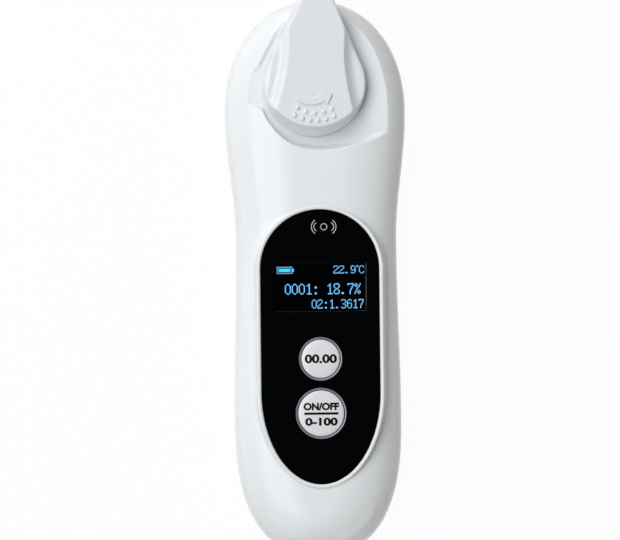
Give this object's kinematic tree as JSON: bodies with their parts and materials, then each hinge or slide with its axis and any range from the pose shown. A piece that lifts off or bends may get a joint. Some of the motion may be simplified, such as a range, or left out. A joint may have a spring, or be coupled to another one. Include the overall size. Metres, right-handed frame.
{
  "type": "digital refractometer",
  "caption": "Hand-size digital refractometer with a swinging lid over its sample well, an oval front panel with a readout, and push buttons.",
  "frame": {"origin": "in the flat back that the instrument lies on, under the middle of the body's length", "axes": "+Z out of the front face with the buttons, +Y to the head end with the lid, +X to the right as the user reads the display"},
  "size_m": [0.0576, 0.1838, 0.0318],
  "materials": {
    "housing_white": "glossy moulded white",
    "lid_grey": "satin light grey, fine grain",
    "panel_black": "smooth glossy black",
    "window_clear": "clear polished",
    "display_dark": "dark glass with pale blue characters",
    "button_white": "satin white",
    "ring_silver": "bright silver",
    "stage_steel": "turned stainless steel",
    "screw_steel": "plated steel",
    "contact_steel": "nickel-plated spring steel",
    "brass": "machined",
    "rubber": "soft matt black",
    "board_green": "solder-resist green",
    "moulded_black": "fine matt black",
    "cell_wrap": "smooth printed wrap, plain"
  },
  "bodies": {
    "housing": {"upper_housing": "housing_white", "lower_housing": "housing_white", "face_panel": "panel_black", "display_window": "window_clear", "prism": "window_clear", "lens": "window_clear", "lamp": "window_clear", "display_cell": "display_dark", "zero_button_ring": "ring_silver", "start_button_ring": "ring_silver", "sample_stage": "stage_steel", "housing_screw_1": "screw_steel", "housing_screw_2": "screw_steel", "housing_screw_3": "screw_steel", "housing_screw_4": "screw_steel", "board_screw_1": "screw_steel", "board_screw_2": "screw_steel", "board_screw_3": "screw_steel", "board_screw_4": "screw_steel", "optics_screw_1": "screw_steel", "optics_screw_2": "screw_steel", "battery_spring_left": "contact_steel", "battery_spring_right": "contact_steel", "contact_plate_left": "contact_steel", "contact_plate_right": "contact_steel", "contact_bridge": "contact_steel", "lid_pivot_bush": "brass", "temperature_probe": "brass", "housing_seal": "rubber", "prism_seal": "rubber", "main_board": "board_green", "lamp_board": "board_green", "sensor_board": "board_green", "display_frame": "moulded_black", "buzzer": "moulded_black", "processor": "moulded_black", "zero_switch": "moulded_black", "start_switch": "moulded_black", "optics_housing": "moulded_black", "image_sensor": "moulded_black", "sensor_ribbon": "moulded_black", "battery_cell_left": "cell_wrap", "battery_cell_right": "cell_wrap"},
    "lid": {"lid": "lid_grey", "lid_light_pad": "rubber", "lid_spring_washer": "screw_steel", "lid_pivot_screw": "screw_steel"},
    "zero_button": {"zero_button_cap": "button_white", "zero_switch_plunger": "moulded_black"},
    "start_button": {"start_button_cap": "button_white", "start_switch_plunger": "moulded_black"},
    "battery_door": {"battery_door": "housing_white"}
  },
  "joints": [
    {"name": "lid_swing", "type": "hinge", "parent": "housing", "child": "lid", "pos_m": [0, 0.0906, 0.0248], "axis": [0, 0, 1], "range_deg": [0, 140]},
    {"name": "zero_button_press", "type": "slide", "parent": "housing", "child": "zero_button", "axis": [0, 0, -1], "range_m": [0, 0.0005], "stiffness_N_per_m": 1500},
    {"name": "start_button_press", "type": "slide", "parent": "housing", "child": "start_button", "axis": [0, 0, -1], "range_m": [0, 0.0005], "stiffness_N_per_m": 1500},
    {"name": "battery_door_slide", "type": "slide", "parent": "housing", "child": "battery_door", "axis": [0, -1, 0], "range_m": [0, 0.064]}
  ]
}
